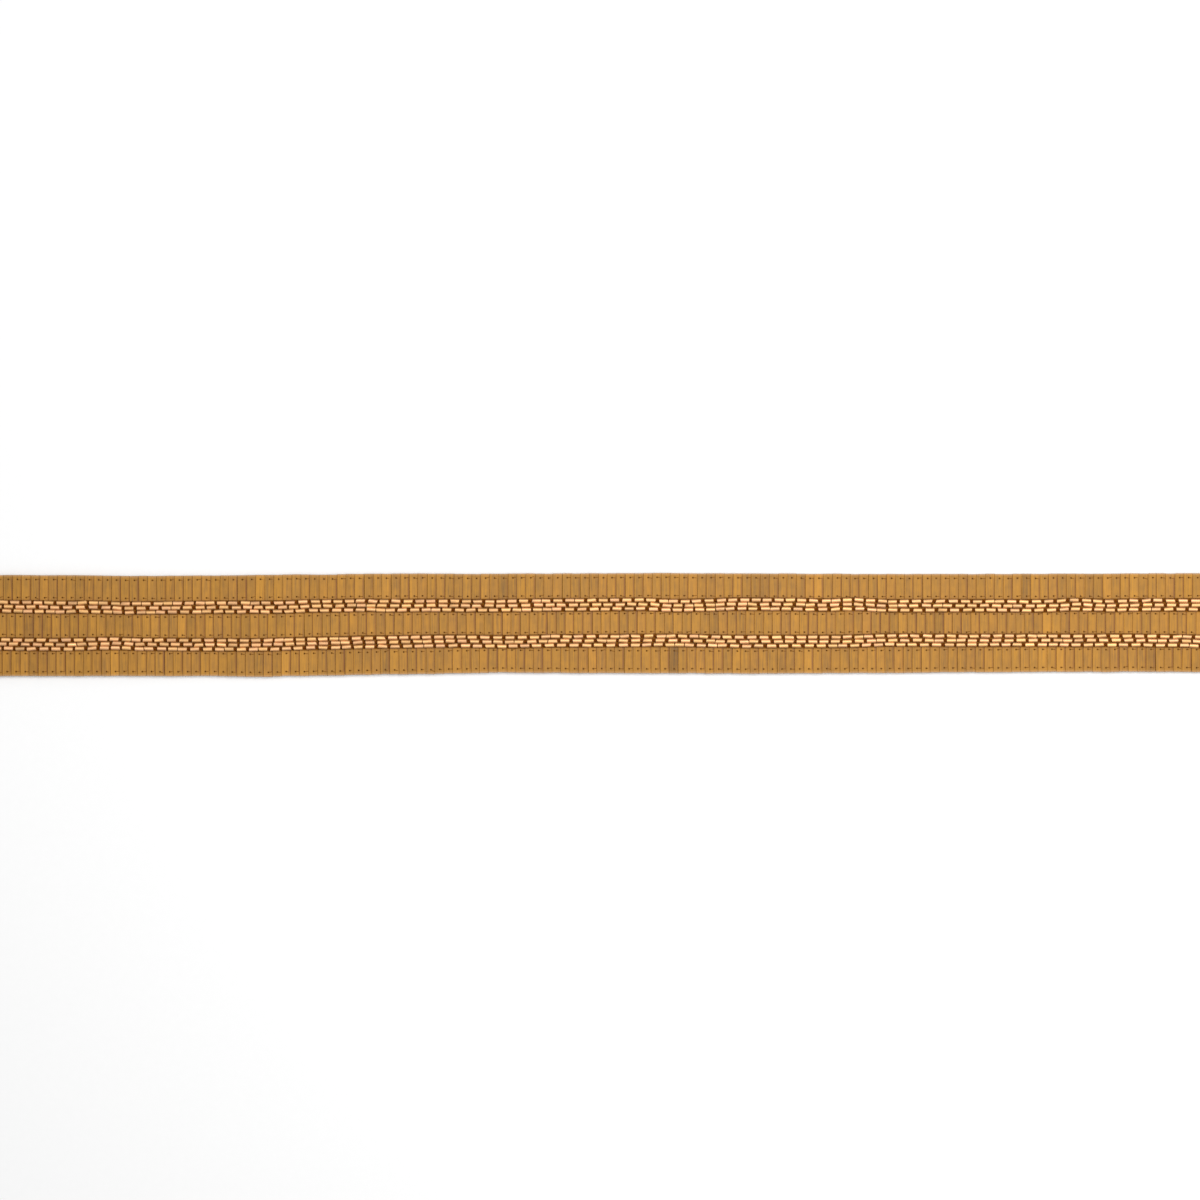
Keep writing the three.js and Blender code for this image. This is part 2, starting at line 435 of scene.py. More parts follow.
def twist_group():
    """The slanting plies of a twisted thread on Object coordinates, as a height."""
    group = bpy.data.node_groups.new("Thread twist", "ShaderNodeTree")
    group_sockets(group, [("Pitch", "NodeSocketFloat", 0.0003)], [("Height", "NodeSocketFloat")])
    nodes = Nodes(group)
    given = nodes.add("NodeGroupInput")
    result = nodes.add("NodeGroupOutput")
    place = nodes.add("ShaderNodeTexCoord").outputs["Object"]
    along = nodes.add("ShaderNodeSeparateXYZ", Vector=place)
    slant = nodes.math("ADD", along.outputs["X"], along.outputs["Y"])
    turn = nodes.math("DIVIDE", slant, given.outputs["Pitch"])
    nodes.join(result.inputs["Height"], nodes.math("SINE", nodes.math("MULTIPLY", turn, 2 * math.pi)))
    return group


def new_material(name):
    """An empty material, its nodes and its shader."""
    material = bpy.data.materials.new(name)
    material.use_nodes = True
    tree = material.node_tree
    tree.nodes.clear()
    nodes = Nodes(tree)
    shader = nodes.add("ShaderNodeBsdfPrincipled")
    output = nodes.add("ShaderNodeOutputMaterial")
    nodes.join(output.inputs["Surface"], shader.outputs[0])
    return material, nodes, shader


def tinted(colour, shares):
    """A colour with its red, green and blue each scaled by a share of their own, and alpha."""
    return (*(channel * share for channel, share in zip(colour, shares)), 1)


def scaled(colour, share):
    """A colour scaled as a whole, and alpha."""
    return tinted(colour, (share, share, share))


def make_matt(shader, roughness):
    """Gives a shader a rough finish that hardly shines."""
    shader.inputs["Roughness"].default_value = roughness
    shader.inputs["Specular IOR Level"].default_value = 0.1


def tape_material(settings, groups):
    """Matt woven yarn."""
    material, nodes, shader = new_material("tape_weave")
    weft_pitch = settings.rib_pitch / 2
    weave = nodes.place_group(groups["weave"], Warp_Pitch=settings.warp_pitch, Weft_Pitch=weft_pitch)
    # Painted shade between the yarns and painted light on their tops.
    painted_shade_between_yarns = scaled(settings.colour, 0.5)
    painted_light_on_yarns = scaled(settings.colour, 1.1)
    nodes.join(shader.inputs["Base Color"], nodes.mix(weave.outputs["Shade"], painted_shade_between_yarns, painted_light_on_yarns))
    make_matt(shader, roughness=0.85)
    nodes.bump(shader, weave.outputs["Height"], distance=0.05 * MM, strength=0.8)
    return material


def bar_material(settings, groups):
    """Satin lacquer on a flat bar, with painted shadow in the laps, painted shade beside the beads, darker
    round the holes, and painted highlights on its left edge and at the trim's edge.

    Its distances are in millimetres, as are the places on a bar."""
    material, nodes, shader = new_material("bar_lacquer")
    colour = settings.colour
    place = nodes.attribute("on_bar", "Vector")
    across = nodes.add("ShaderNodeSeparateXYZ", Vector=place).outputs["X"]
    from_ends = nodes.add("ShaderNodeSeparateXYZ", Vector=nodes.attribute("from_ends", "Vector"))
    from_outer_end = from_ends.outputs["X"]
    from_inner_end = nodes.math("MINIMUM", from_ends.outputs["Y"], from_ends.outputs["Z"])

    streak_place = nodes.add("ShaderNodeMapping", Vector=place)
    streak_place.inputs["Scale"].default_value = (2.2, 0.12, 1)  # long along a bar and narrow across it
    streaks = nodes.noise(streak_place.outputs[0], scale=1.0, detail=3.0)
    clouds = nodes.noise(place, scale=0.45)
    uneven = nodes.math("ADD", nodes.swing(streaks, 8.0), nodes.swing(clouds, 2.2))
    most_change = 0.16  # of a bar's brightness, for one unit of tone
    toned = nodes.place_group(
        groups["tone"],
        Colour=(*colour, 1),
        Warm_Colour=tinted(colour, (1.01, 0.985, 1.2)),
        Tone=nodes.math("ADD", uneven, nodes.attribute("tone")),
        Warmth=nodes.attribute("warmth"),
        Spread=most_change * settings.tone_spread,
    )
    lapped = shade_laps(nodes, settings, across, from_outer_end, toned.outputs[0])
    painted_at_ends = shade_ends(nodes, settings, from_outer_end, from_inner_end, lapped)
    with_painted_shade = shade_holes(nodes, settings, place, painted_at_ends)
    nodes.join(shader.inputs["Base Color"], with_painted_shade)

    roughness = nodes.math("MULTIPLY_ADD", streaks, 0.16, 0.42)
    nodes.join(shader.inputs["Roughness"], roughness)
    shader.inputs["Metallic"].default_value = 0.2
    shader.inputs["Specular IOR Level"].default_value = 0.3
    nodes.bump(shader, streaks, distance=0.03 * MM, strength=0.25)
    return material


def shade_laps(nodes, settings, across, from_outer_end, colour):
    """Paints a highlight on a bar's left edge, and paints shadow on its right edge where the next bar lies on
    it.
    """
    half_width = settings.width / MM / 2
    # Painted highlight on the left edge, which stands up on the bar before it.
    left_glint = nodes.ramp_down(nodes.math("ADD", half_width, across), start=0.1, end=0.4, top=0.2)
    glinted = nodes.mix(left_glint, colour, scaled(settings.colour, 1.3))
    # Painted shadow on the right edge, under the next bar's left edge.
    right_edge_shadow = nodes.ramp_down(nodes.math("SUBTRACT", half_width, across), start=0.25, end=0.95)
    past_holes = nodes.ramp_down(from_outer_end, start=0.7, end=1.6, top=0.45)
    joint = nodes.math("SUBTRACT", nodes.attribute("joint"), past_holes)
    lap_shadow_share = nodes.math("MULTIPLY", right_edge_shadow, nodes.math("MAXIMUM", joint, 0.0))
    return nodes.mix(lap_shadow_share, glinted, (*settings.lap_shade_colour, 1))


def shade_ends(nodes, settings, from_outer_end, from_inner_end, colour):
    """Paints a highlight on a bar at the trim's edge, and paints shade on it beside the beads."""
    # Painted highlight on the bar's outer end, at the trim's edge.
    highlight_lift = 0.16
    highlight_colour = (*(channel + highlight_lift for channel in settings.colour), 1)
    highlit = nodes.mix(nodes.ramp_down(from_outer_end, start=0.1, end=0.75, top=0.35), colour, highlight_colour)
    # Painted shade on the bar beside the beads, which stand higher.
    shade_beside_beads = nodes.ramp_down(from_inner_end, start=0.1, end=0.8, top=0.22)
    return nodes.mix(shade_beside_beads, highlit, (*settings.lap_shade_colour, 1))


def shade_holes(nodes, settings, place, colour):
    """Darkens a bar round its two holes."""
    flat_place = nodes.add("ShaderNodeVectorMath", {"operation": "MULTIPLY"}, _0=place, _1=(1, 1, 0))
    distances = [
        nodes.add("ShaderNodeVectorMath", {"operation": "DISTANCE"}, _0=flat_place.outputs[0], _1=(0, y, 0))
        for y in (0, settings.hole_spacing / MM)
    ]
    nearest = nodes.math("MINIMUM", *(distance.outputs["Value"] for distance in distances))
    radius = settings.hole_radius / MM
    rim_width = 0.3
    rim = nodes.ramp_down(nearest, start=radius, end=radius + rim_width, top=0.2)
    return nodes.mix(rim, colour, (*settings.lap_shade_colour, 1))


def bead_material(settings, length, groups):
    """A satin metallic coat on glass, with painted shade towards a bead's cut ends, where beads meet, and low
    on its sides, between the strands.
    """
    material, nodes, shader = new_material("bead_coat")
    colour = settings.colour
    bead_shade_colour = tinted(colour, (0.3, 0.23, 0.12))
    place = nodes.add("ShaderNodeTexCoord").outputs["Object"]
    patches_per_metre = 900.0
    patches = nodes.noise(place, patches_per_metre)
    most_change = 0.25  # of a bead's brightness, for one unit of tone
    toned = nodes.place_group(
        groups["tone"],
        Colour=(*colour, 1),
        Warm_Colour=tinted(colour, (1.01, 0.97, 1.2)),
        Tone=nodes.math("ADD", nodes.swing(patches, 1.2), nodes.attribute("tone")),
        Warmth=nodes.attribute("warmth"),
        Spread=most_change * settings.tone_spread,
    )

    # Painted shade towards a bead's cut ends, in the gaps between beads.
    from_middle = nodes.math("ABSOLUTE", nodes.attribute("along_bead"))
    from_end = nodes.math("SUBTRACT", length / MM / 2, from_middle)
    painted_at_ends = nodes.mix(nodes.ramp_down(from_end, start=0.03, end=0.2, top=0.5), toned.outputs[0], bead_shade_colour)
    # Painted shade low on a bead's sides, between the strands.
    level = nodes.add("ShaderNodeSeparateXYZ", Vector=place).outputs["Z"]
    height = nodes.math("DIVIDE", nodes.math("SUBTRACT", level, SEAT_HEIGHT), settings.diameter)
    with_painted_shade = nodes.mix(nodes.ramp_down(height, start=0.6, end=0.98, top=0.22), painted_at_ends, bead_shade_colour)
    nodes.join(shader.inputs["Base Color"], with_painted_shade)
    nodes.join(shader.inputs["Roughness"], nodes.math("MULTIPLY_ADD", patches, 0.16, 0.41))
    shader.inputs["Metallic"].default_value = 0.55
    return material


def thread_material(name, colour, groups):
    """Twisted thread, with painted shade between its plies."""
    material, nodes, shader = new_material(name)
    twist = nodes.place_group(groups["twist"], Pitch=0.25 * MM).outputs[0]
    shade = nodes.math("MULTIPLY_ADD", twist, 0.2, 0.8)  # painted shade, from 0.6 between plies to 1 on them
    nodes.join(shader.inputs["Base Color"], nodes.mix(shade, scaled(colour, 0.4), scaled(colour, 1.15)))
    make_matt(shader, roughness=0.8)
    nodes.bump(shader, twist, distance=0.02 * MM, strength=0.6)
    return material


def floor_material(colour):
    """Plain matt floor with the faintest grain."""
    material, nodes, shader = new_material("floor_paper")
    grains_per_metre = 400.0
    grain = nodes.noise(nodes.add("ShaderNodeTexCoord").outputs["Object"], grains_per_metre)
    nodes.join(shader.inputs["Base Color"], nodes.mix(grain, scaled(colour, 0.99), scaled(colour, 1.01)))
    make_matt(shader, roughness=0.9)
    return material


def shared_groups():
    """The node groups, built once."""
    if "Piece tone" in bpy.data.node_groups:
        names = ("Piece tone", "Plain weave", "Thread twist")
        tone, weave, twist = (bpy.data.node_groups[name] for name in names)
    else:
        tone, weave, twist = tone_group(), weave_group(), twist_group()
    return {"tone": tone, "weave": weave, "twist": twist}


class TRIM_OT_stage(bpy.types.Operator):
    """Lays the floor and sets the light and the camera"""

    bl_idname = "trim.stage"
    bl_label = "Set the stage"

    def execute(self, context):
        settings = context.scene.trim_stage
        clear_selection()
        floor_place = (0, 0, -settings.floor_drop)
        bpy.ops.mesh.primitive_grid_add(
            x_subdivisions=4, y_subdivisions=4, size=settings.floor_size, location=floor_place
        )
        floor = bpy.context.object
        floor.name = "floor"
        floor.data.materials.append(floor_material(settings.floor_colour))

        world = bpy.data.worlds.new("studio")
        world.use_nodes = True
        background = world.node_tree.nodes["Background"]
        background.inputs["Color"].default_value = (1, 1, 1, 1)
        background.inputs["Strength"].default_value = settings.fill_strength
        context.scene.world = world

        back = settings.key_distance * math.cos(settings.key_angle)
        up = settings.key_distance * math.sin(settings.key_angle)
        place = Vector((settings.key_side, back, up))
        bpy.ops.object.light_add(type="AREA", location=place)
        key = bpy.context.object
        key.name = "key_light"
        key.data.shape = "RECTANGLE"
        key.data.size = settings.key_length
        key.data.size_y = settings.key_width
        key.data.energy = settings.key_strength
        key.rotation_euler = (-place).to_track_quat("-Z", "Y").to_euler()

        camera_place = (0, PHOTO_CENTRE_Y, settings.camera_height)
        bpy.ops.object.camera_add(location=camera_place, rotation=(0, 0, 0))
        camera = bpy.context.object
        camera.name = "camera"
        photo_width = PHOTO_PIXELS / PHOTO_SCALE
        distance = settings.camera_height - BAR_TOP
        camera.data.sensor_width = 36  # millimetres, as the lens is
        camera.data.lens = camera.data.sensor_width * distance / photo_width
        camera.data.clip_end = 50  # well past the floor's corners
        context.scene.camera = camera
        context.scene.view_settings.view_transform = "Standard"
        return {"FINISHED"}


def model_tape(settings, edges):
    """The tape between its two edges, flat and solid, without its ribs."""
    left, right = edges[0, 0], edges[-1, 0]
    ribs = round((right - left) / settings.rib_pitch)
    steps_per_rib = 4
    steps_across = 10
    clear_selection()
    bpy.ops.mesh.primitive_grid_add(x_subdivisions=ribs * steps_per_rib, y_subdivisions=steps_across, size=1)
    tape = bpy.context.object
    tape.name = "woven_tape"
    points = np.array([vertex.co for vertex in tape.data.vertices])
    x = left + (points[:, 0] + 0.5) * (right - left)
    low = np.interp(x, edges[:, 0], edges[:, 1])
    high = np.interp(x, edges[:, 0], edges[:, 2])
    points[:, 0] = x
    points[:, 1] = low + (points[:, 1] + 0.5) * (high - low)
    points[:, 2] = SEAT_HEIGHT - settings.headroom - settings.rib_relief
    tape.data.vertices.foreach_set("co", points.ravel())

    solidify = tape.modifiers.new("thickness", "SOLIDIFY")
    solidify.thickness = points[0, 2] - settings.back_relief - settings.rib_relief
    solidify.offset = -1
    only(tape)
    bpy.ops.object.modifier_apply(modifier=solidify.name)
    return tape


def rib_tape(tape, settings, edges):
    """Raises cross ribs on the tape's face and back, which also show as a ripple in its long edges."""
    points = np.array([vertex.co for vertex in tape.data.vertices])
    wave = np.cos(2 * math.pi * (points[:, 0] - edges[0, 0]) / settings.rib_pitch) * settings.rib_relief
    facing = np.where(points[:, 2] > points[:, 2].mean(), 1, -1)
    points[:, 2] += facing * wave
    low = np.interp(points[:, 0], edges[:, 0], edges[:, 1])
    high = np.interp(points[:, 0], edges[:, 0], edges[:, 2])
    at_low = np.abs(points[:, 1] - low) < TOLERANCE
    at_high = np.abs(points[:, 1] - high) < TOLERANCE
    points[at_low, 1] -= wave[at_low]
    points[at_high, 1] += wave[at_high]
    tape.data.vertices.foreach_set("co", points.ravel())
    tape.data.update()


class TRIM_OT_tape(bpy.types.Operator):
    """Weaves the tape"""

    bl_idname = "trim.tape"
    bl_label = "Lay the tape"

    def execute(self, context):
        settings = context.scene.trim_tape
        edges = np.array(node_corners("tape", 0))
        tape = model_tape(settings, edges)
        rib_tape(tape, settings, edges)
        only(tape)
        bpy.ops.object.shade_smooth_by_angle(angle=math.radians(60))

        finish_piece(tape, "tape", tape_material(settings, shared_groups()), "tape")
        return {"FINISHED"}


def model_bar(settings):
    """One flat bar. Its lower hole is at the origin, its upper one lies along +Y, and z = 0 is its base."""
    width, thickness, spacing = settings.width, settings.thickness, settings.hole_spacing
    margin = settings.outer_margin
    clear_selection()
    bpy.ops.mesh.primitive_cube_add(size=1, location=(0, spacing / 2, thickness / 2))
    bar = bpy.context.object
    bar.scale = (width, spacing + 2 * margin, thickness)
    bpy.ops.object.transform_apply(location=True, rotation=True, scale=True)
    bpy.ops.object.mode_set(mode="EDIT")
    bpy.ops.mesh.select_all(action="DESELECT")
    bpy.ops.object.mode_set(mode="OBJECT")
    for edge in bar.data.edges:
        edge.select = all(bar.data.vertices[i].co.z > thickness / 2 for i in edge.vertices)
    bpy.ops.object.mode_set(mode="EDIT")
    bpy.ops.mesh.select_mode(type="EDGE")
    bpy.ops.mesh.bevel(offset=settings.edge_bevel, segments=1)
    bpy.ops.object.mode_set(mode="OBJECT")
    for y in (0, spacing):
        clear_selection()
        bpy.ops.mesh.primitive_cylinder_add(
            vertices=8, radius=settings.hole_radius, depth=4 * thickness, location=(0, y, thickness / 2)
        )
        punch = bpy.context.object
        only(bar)
        hole = bar.modifiers.new("hole", "BOOLEAN")
        hole.operation = "DIFFERENCE"
        hole.solver = "EXACT"
        hole.object = punch
        bpy.ops.object.modifier_apply(modifier=hole.name)
        bpy.data.objects.remove(punch)
    return template_of(bar)


class TRIM_OT_bars(bpy.types.Operator):
    """Lays the three bands of lapped bars"""

    bl_idname = "trim.bars"
    bl_label = "Lay the bars"

    def execute(self, context):
        settings = context.scene.trim_bars
        template, faces = model_bar(settings)
        material = bar_material(settings, shared_groups())
        # How dark the painted shadow in a bar's lap may be, drawn for each bar.
        palest_joint = 0.2
        darkest_joint = 0.72
        for seed, node in enumerate(BANDS):
            draw = random.Random(BAR_SEED + seed)
            copies, places, ends, joints, tones, warmths = [], [], [], [], [], []
            for bar in bars_of(node):
                lapped = len(copies) > 0
                points, on_bar = lay_bar(template, bar, node, lapped, settings, draw)
                copies.append(points)
                places.append(on_bar)
                ends.append(distances_from_ends(on_bar[:, 1], node))
                joints.append(same_for_all(len(template), draw.uniform(palest_joint, darkest_joint)))
                tones.append(same_for_all(len(template), bar_tone(draw)))
                warmths.append(same_for_all(len(template), draw.random() ** 2))
            values = [
                ("on_bar", "FLOAT_VECTOR", places),
                ("from_ends", "FLOAT_VECTOR", ends),
                ("joint", "FLOAT", joints),
                ("tone", "FLOAT", tones),
                ("warmth", "FLOAT", warmths),
            ]
            band = joined_copies(node.replace("bars", "band"), faces, copies, values)
            finish_piece(band, "bars", material, node)
        return {"FINISHED"}


def bar_tone(draw):
    """A bar's own tone. A few bars stand out as plainly lighter or darker."""
    usual_spread = 0.45
    odd_share = 0.06
    odd_change = 1.6
    tone = draw.gauss(0, usual_spread)
    if draw.random() < odd_share:
        tone += draw.choice((-odd_change, odd_change))
    return tone


def holes_start(node, low_end, high_end, settings):
    """Where a bar's lower hole lies, across the trim."""
    if node == "bars_upper":
        return high_end - settings.outer_margin - settings.hole_spacing
    if node == "bars_lower":
        return low_end + settings.outer_margin
    return (low_end + high_end - settings.hole_spacing) / 2


def lay_bar(template, bar, node, lapped, settings, draw):
    """The points of one laid bar, and where each lies on it, in millimetres from the lower hole.

    A lapped bar leans on the bar before it, and the first of a band lies flat. The third number of a place
    on a bar is the bar's own, so that no two bars have the same streaks."""
    left, low_end, high_end = bar
    nearer_beads = SOLID_CLEARANCE - settings.bead_clearance
    low_end -= 0 if node == "bars_lower" else nearer_beads
    high_end += 0 if node == "bars_upper" else nearer_beads
    low_hole = holes_start(node, low_end, high_end, settings)
    low_end += settings.outer_inset if node == "bars_lower" else 0
    high_end -= settings.outer_inset if node == "bars_upper" else 0
    points = template.copy()
    middle = settings.hole_spacing / 2
    bevelled = 1.5 * settings.edge_bevel  # takes in both rows of points at a bevelled end
    past_holes = settings.outer_margin - bevelled
    at_low_end = points[:, 1] < -past_holes
    at_high_end = points[:, 1] > settings.hole_spacing + past_holes
    points[at_low_end, 1] += low_end - low_hole + settings.outer_margin
    points[at_high_end, 1] += high_end - low_hole - settings.hole_spacing - settings.outer_margin
    on_bar = points / MM
    last_pattern = 1000
    on_bar[:, 2] = last_pattern * draw.random()

    lap_height = settings.thickness if lapped else 0
    slope = math.atan2(lap_height, settings.width) * (1 + settings.slope_spread * draw.uniform(-1, 1))
    yaw = draw.gauss(0, settings.turn_spread)
    points[:, 1] -= middle
    points[:, 0] += settings.width / 2
    points = points @ np.array(Matrix.Rotation(slope, 3, "Y").transposed())
    points[:, 0] -= settings.width / 2
    points = points @ np.array(Matrix.Rotation(yaw, 3, "Z").transposed())
    points += (left + settings.width / 2, low_hole + middle, SEAT_HEIGHT + lap_height + settings.air)
    return points, on_bar


def distances_from_ends(along, node):
    """How far each point of a bar lies from its end at the trim's edge and from its ends beside beads."""
    from_low_end = along - along.min()
    from_high_end = along.max() - along
    no_end = same_for_all(len(along), NO_SUCH_END)
    from_ends = {
        "bars_upper": (from_high_end, from_low_end, no_end),
        "bars_middle": (no_end, from_low_end, from_high_end),
        "bars_lower": (from_low_end, from_high_end, no_end),
    }
    return np.column_stack(from_ends[node])


def model_bead(settings, length):
    """One bugle bead along X with its bore. Its middle is at the origin."""
    clear_selection()
    bpy.ops.mesh.primitive_cylinder_add(
        vertices=10, radius=settings.diameter / 2, depth=length, rotation=(0, math.pi / 2, 0)
    )
    bead = bpy.context.object
    bpy.ops.object.transform_apply(location=False, rotation=True, scale=False)
    bpy.ops.object.mode_set(mode="EDIT")
    bpy.ops.mesh.select_all(action="DESELECT")
    bpy.ops.object.mode_set(mode="OBJECT")
    for face in bead.data.polygons:
        face.select = abs(face.normal.x) > 0.9
    bpy.ops.object.mode_set(mode="EDIT")
    bpy.ops.mesh.select_mode(type="FACE")
    bpy.ops.mesh.inset(thickness=(settings.diameter - settings.bore) / 2, use_individual=True)
    bpy.ops.mesh.bridge_edge_loops()
    bpy.ops.mesh.select_all(action="DESELECT")
    bpy.ops.object.mode_set(mode="OBJECT")
    points = [vertex.co for vertex in bead.data.vertices]
    near_outside = 0.45 * settings.diameter
    for edge in bead.data.edges:
        start, end = (points[i] for i in edge.vertices)
        round_a_rim = abs(start.x - end.x) < TOLERANCE
        edge.select = round_a_rim and min(start.yz.length, end.yz.length) > near_outside
    bpy.ops.object.mode_set(mode="EDIT")
    bpy.ops.mesh.select_mode(type="EDGE")
    bpy.ops.mesh.bevel(offset=settings.rim_bevel, segments=1)
    bpy.ops.mesh.select_all(action="SELECT")
    bpy.ops.mesh.normals_make_consistent(inside=False)
    bpy.ops.object.mode_set(mode="OBJECT")
    return template_of(bead)


def lay_bead(template, ends, settings, draw):
    """The points of one bead between its two ends on the strand."""
    (x_from, y_from), (x_to, y_to) = ends
    points = template.copy()
    slant = math.tan(draw.gauss(0, settings.end_slant))
    other_slant = math.tan(draw.gauss(0, settings.end_slant))
    points[:, 0] += np.where(points[:, 0] > 0, slant, other_slant) * points[:, 1]
    yaw = math.atan2(y_to - y_from, x_to - x_from) + draw.gauss(0, settings.turn_spread * settings.unevenness)
    most_roll = 0.6  # radians
    roll = draw.uniform(-most_roll, most_roll)
    turn = Matrix.Rotation(yaw, 3, "Z") @ Matrix.Rotation(roll, 3, "X")
    points = points @ np.array(turn.transposed())
    middle = ((x_from + x_to) / 2, (y_from + y_to) / 2, SEAT_HEIGHT + settings.diameter / 2)
    shift = draw.gauss(0, settings.shift_spread * settings.unevenness)
    shift = max(-settings.shift_spread, min(settings.shift_spread, shift))
    wander = (0, shift, draw.uniform(-settings.sink, settings.rise))
    return points + middle + wander


class TRIM_OT_beads(bpy.types.Operator):
    """Lays the six strands of bugle beads"""

    bl_idname = "trim.beads"
    bl_label = "Lay the beads"

    def execute(self, context):
        settings = context.scene.trim_beads
        (x_from, _), (x_to, _) = beads_of(STRANDS[0])[0]
        length = x_to - x_from
        template, faces = model_bead(settings, length)
        material = bead_material(settings, length, shared_groups())
        usual_tone = 0.5
        for seed, node in enumerate(STRANDS):
            draw = random.Random(BEAD_SEED + seed)
            copies, places, tones, warmths = [], [], [], []
            for ends in beads_of(node):
                copies.append(lay_bead(template, ends, settings, draw))
                places.append(template[:, 0] / MM)
                tones.append(same_for_all(len(template), draw.gauss(0, usual_tone)))
                warmths.append(same_for_all(len(template), draw.random()))
            values = [
                ("along_bead", "FLOAT", places),
                ("tone", "FLOAT", tones),
                ("warmth", "FLOAT", warmths),
            ]
            strand = joined_copies(node.replace("beads", "strand"), faces, copies, values)
            only(strand)
            bpy.ops.object.shade_smooth_by_angle(angle=math.radians(40))
            finish_piece(strand, "beads", material, node)
        return {"FINISHED"}


def joined_shapes(name, shapes):
    """One mesh of several shapes, each given as its points and faces."""
    points, faces = [], []
    for shape_points, shape_faces in shapes:
        start = len(points)
        points.extend(map(tuple, shape_points))
        faces.extend(tuple(corner + start for corner in face) for face in shape_faces)
    mesh = bpy.data.meshes.new(name)
    mesh.from_pydata(points, [], faces)
    piece = bpy.data.objects.new(name, mesh)
    bpy.context.collection.objects.link(piece)
    return piece


def chance_turn(draw, spread):
    """A turn about Z by a chance number of degrees, as a matrix for points in rows."""
    return np.array(Matrix.Rotation(math.radians(draw.gauss(0, spread)), 3, "Z").transposed())


def string_beads(settings, axis_height, material):
    """The thread that runs through each strand's beads."""
    strings = []
    for node in STRANDS:
        path = [(x, y, axis_height) for ends in beads_of(node) for x, y in ends]
        strings.append(thread_template(path, settings.strand_diameter))
    string = joined_shapes("stringing_thread", strings)
    finish_piece(string, "tape", material)


def couch_strands(settings, axis_height, tape_top, material):
    """The stitches that cross a strand between two beads and hold it down."""
    reach = settings.couching_reach
    rise = axis_height + settings.strand_diameter / 2 - tape_top
    loop_points, loop_faces = thread_template(arch(2 * reach, rise, steps=6), settings.couching_diameter)
    quarter_turn = np.array(Matrix.Rotation(math.pi / 2, 3, "Z").transposed())
    loop_points = (loop_points - (reach, 0, 0)) @ quarter_turn
    loops = []
    for seed, node in enumerate(STRANDS):
        draw = random.Random(COUCHING_SEED + seed)
        beads = beads_of(node)
        for (_, (x_from, y_from)), ((x_to, y_to), _) in zip(beads, beads[1:]):
            if x_to - x_from < settings.couching_gap:
                continue
            middle = ((x_from + x_to) / 2, (y_from + y_to) / 2, tape_top)
            loops.append(loop_points @ chance_turn(draw, 12) + middle)
    couching = joined_copies("couching_stitches", loop_faces, loops)
    finish_piece(couching, "tape", material)


def face_stitch(diameter, longest):
    """A stitch on the face, which comes up out of a hole at the origin and lies along +X."""
    path = [
        (0, 0, -0.5 * MM),
        (0, 0, -0.35 * diameter),
        (0.12 * longest, 0, 0.3 * diameter),
        (0.6 * longest, 0, 0.2 * diameter),
        (0.98 * longest, 0, -0.1 * diameter),
    ]
    return thread_template(path, diameter)


def back_stitch(diameter, length, relief):
    """A stitch on the back along +X, which hangs down from the tape's back at z = 0."""
    dip = relief - diameter / 2 - TOLERANCE
    in_tape = 0.2 * MM
    return thread_template(arch(length, -dip, steps=4, sink=-in_tape), diameter)


def holes_of(node, settings):
    """The two holes of each bar of a band, as (x, y)."""
    holes = []
    for left, low_end, high_end in bars_of(node):
        low_hole = holes_start(node, low_end, high_end, settings)
        holes.append((left + settings.width / 2, low_hole))
        holes.append((left + settings.width / 2, low_hole + settings.hole_spacing))
    return holes


def sew_bars(context, material):
    """The stitches at the bars' holes, on the face and on the back, and those behind the beads."""
    settings = context.scene.trim_thread
    bar_settings = context.scene.trim_bars
    back_relief = context.scene.trim_tape.back_relief
    back_length = settings.back_length
    face_points, face_faces = face_stitch(settings.stitch_diameter, bar_settings.width / 2)
    back_points, back_faces = back_stitch(settings.stitch_diameter, back_length, back_relief)
    shortest_share = 0.3
    slope = math.atan2(bar_settings.thickness, bar_settings.width)
    lean = np.array(Matrix.Rotation(slope, 3, "Y").transposed())
    bar_top = SEAT_HEIGHT + bar_settings.air + 1.5 * bar_settings.thickness  # in the middle of a lapped bar
    face_stitches, back_stitches = [], []
    for seed, node in enumerate(BANDS):
        draw = random.Random(STITCH_SEED + seed)
        for x, y in holes_of(node, bar_settings):
            turn = chance_turn(draw, 8)
            reach = (draw.uniform(shortest_share, 1), 1, 1)
            face_stitches.append((face_points * reach) @ turn @ lean + (x, y, bar_top))
            back_stitches.append(back_points @ chance_turn(draw, 6) + (x - back_length, y, back_relief))
    for seed, node in enumerate(STRANDS):
        draw = random.Random(BACK_SEED + seed)
        for (x_from, y_from), (x_to, _) in beads_of(node):
            stretched = back_points * ((x_to - x_from) / back_length, 1, 1)
            back_stitches.append(stretched @ chance_turn(draw, 8) + (x_from, y_from, back_relief))
    finish_piece(joined_copies("bar_stitches", face_faces, face_stitches), "tape", material)
    finish_piece(joined_copies("back_stitches", back_faces, back_stitches), "tape", material)


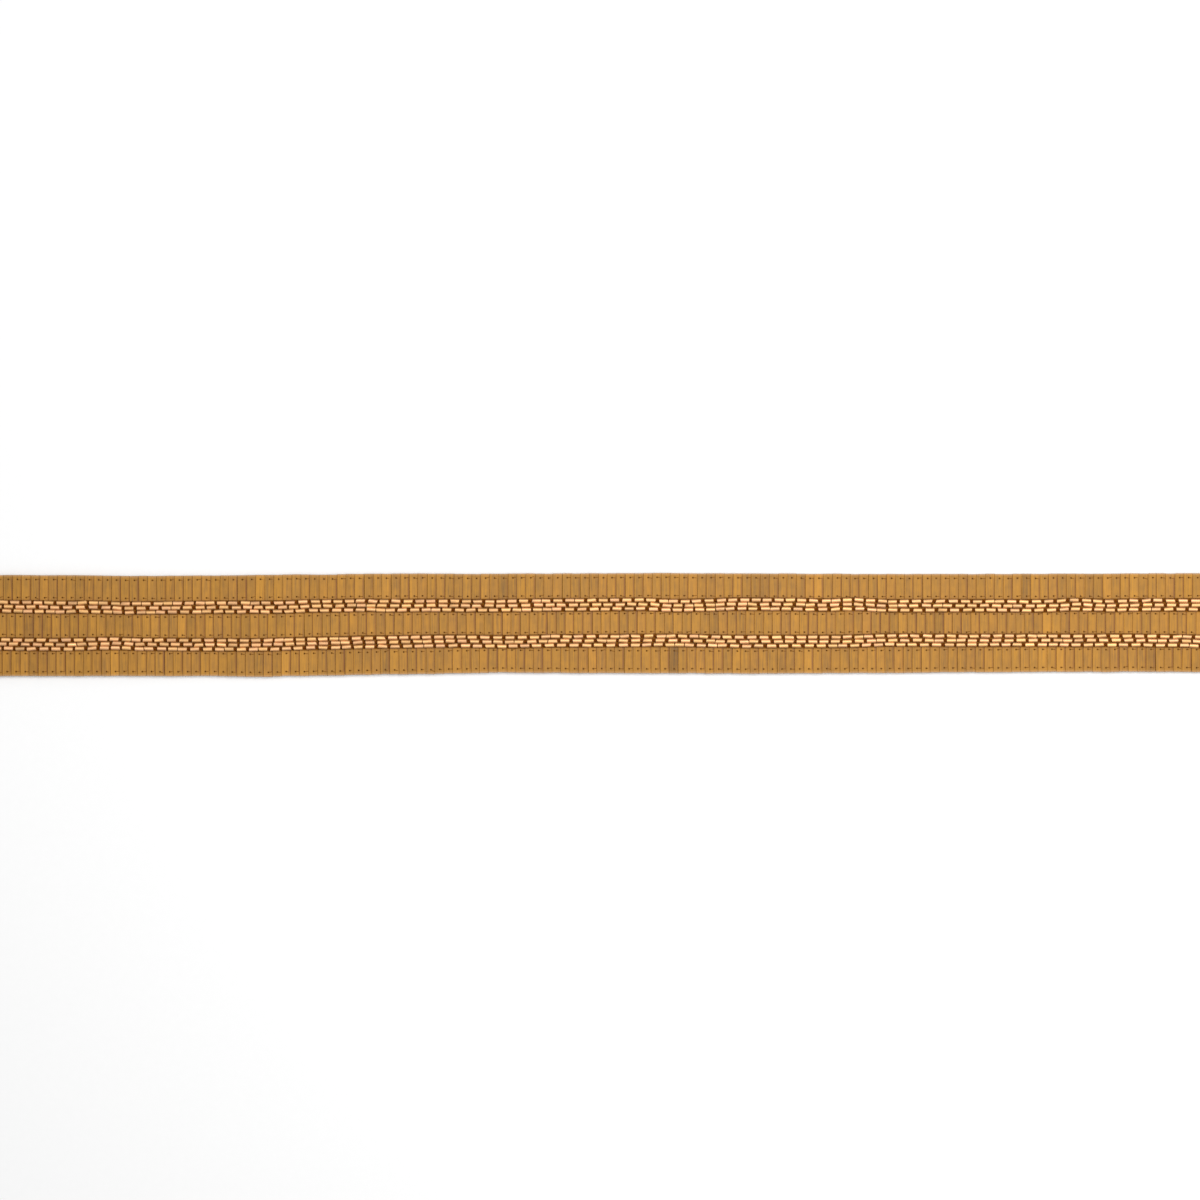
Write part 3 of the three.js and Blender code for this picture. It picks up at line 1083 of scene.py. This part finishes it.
class TRIM_OT_threads(bpy.types.Operator):
    """Strings the beads and sews everything down"""

    bl_idname = "trim.threads"
    bl_label = "String and sew"

    def execute(self, context):
        settings = context.scene.trim_thread
        groups = shared_groups()
        stringing_thread = thread_material("stringing_thread", settings.colour, groups)
        sewing_thread = thread_material("sewing_thread", settings.stitch_colour, groups)
        axis_height = SEAT_HEIGHT + context.scene.trim_beads.diameter / 2
        tape_top = SEAT_HEIGHT - context.scene.trim_tape.headroom
        string_beads(settings, axis_height, stringing_thread)
        couch_strands(settings, axis_height, tape_top, stringing_thread)
        sew_bars(context, sewing_thread)
        return {"FINISHED"}


class TRIM_PT_panel(bpy.types.Panel):
    """Lists the steps that dress the trim"""

    bl_label = "Beaded Tape Trim"
    bl_idname = "TRIM_PT_panel"
    bl_space_type = "VIEW_3D"
    bl_region_type = "UI"
    bl_category = "Trim"

    def draw(self, context):
        for operator, group in STEPS:
            box = self.layout.box()
            box.operator(operator.bl_idname)
            settings = getattr(context.scene, group)
            for name in settings.__annotations__:
                box.prop(settings, name)


SETTINGS = {
    "trim_stage": StageSettings,
    "trim_tape": TapeSettings,
    "trim_bars": BarSettings,
    "trim_beads": BeadSettings,
    "trim_thread": ThreadSettings,
}
STEPS = (
    (TRIM_OT_stage, "trim_stage"),
    (TRIM_OT_tape, "trim_tape"),
    (TRIM_OT_bars, "trim_bars"),
    (TRIM_OT_beads, "trim_beads"),
    (TRIM_OT_threads, "trim_thread"),
)


def register():
    """Adds the settings, the steps and the panel."""
    for name, settings in SETTINGS.items():
        bpy.utils.register_class(settings)
        setattr(bpy.types.Scene, name, bpy.props.PointerProperty(type=settings))
    for operator, _ in STEPS:
        bpy.utils.register_class(operator)
    bpy.utils.register_class(TRIM_PT_panel)


def unregister():
    """Takes them away again."""
    bpy.utils.unregister_class(TRIM_PT_panel)
    for operator, _ in reversed(STEPS):
        bpy.utils.unregister_class(operator)
    for name, settings in SETTINGS.items():
        delattr(bpy.types.Scene, name)
        bpy.utils.unregister_class(settings)


def main():
    """Dresses the trim."""
    register()
    bpy.ops.trim.stage()
    bpy.ops.trim.tape()
    bpy.ops.trim.bars()
    bpy.ops.trim.beads()
    bpy.ops.trim.threads()


if __name__ == "__main__":
    main()
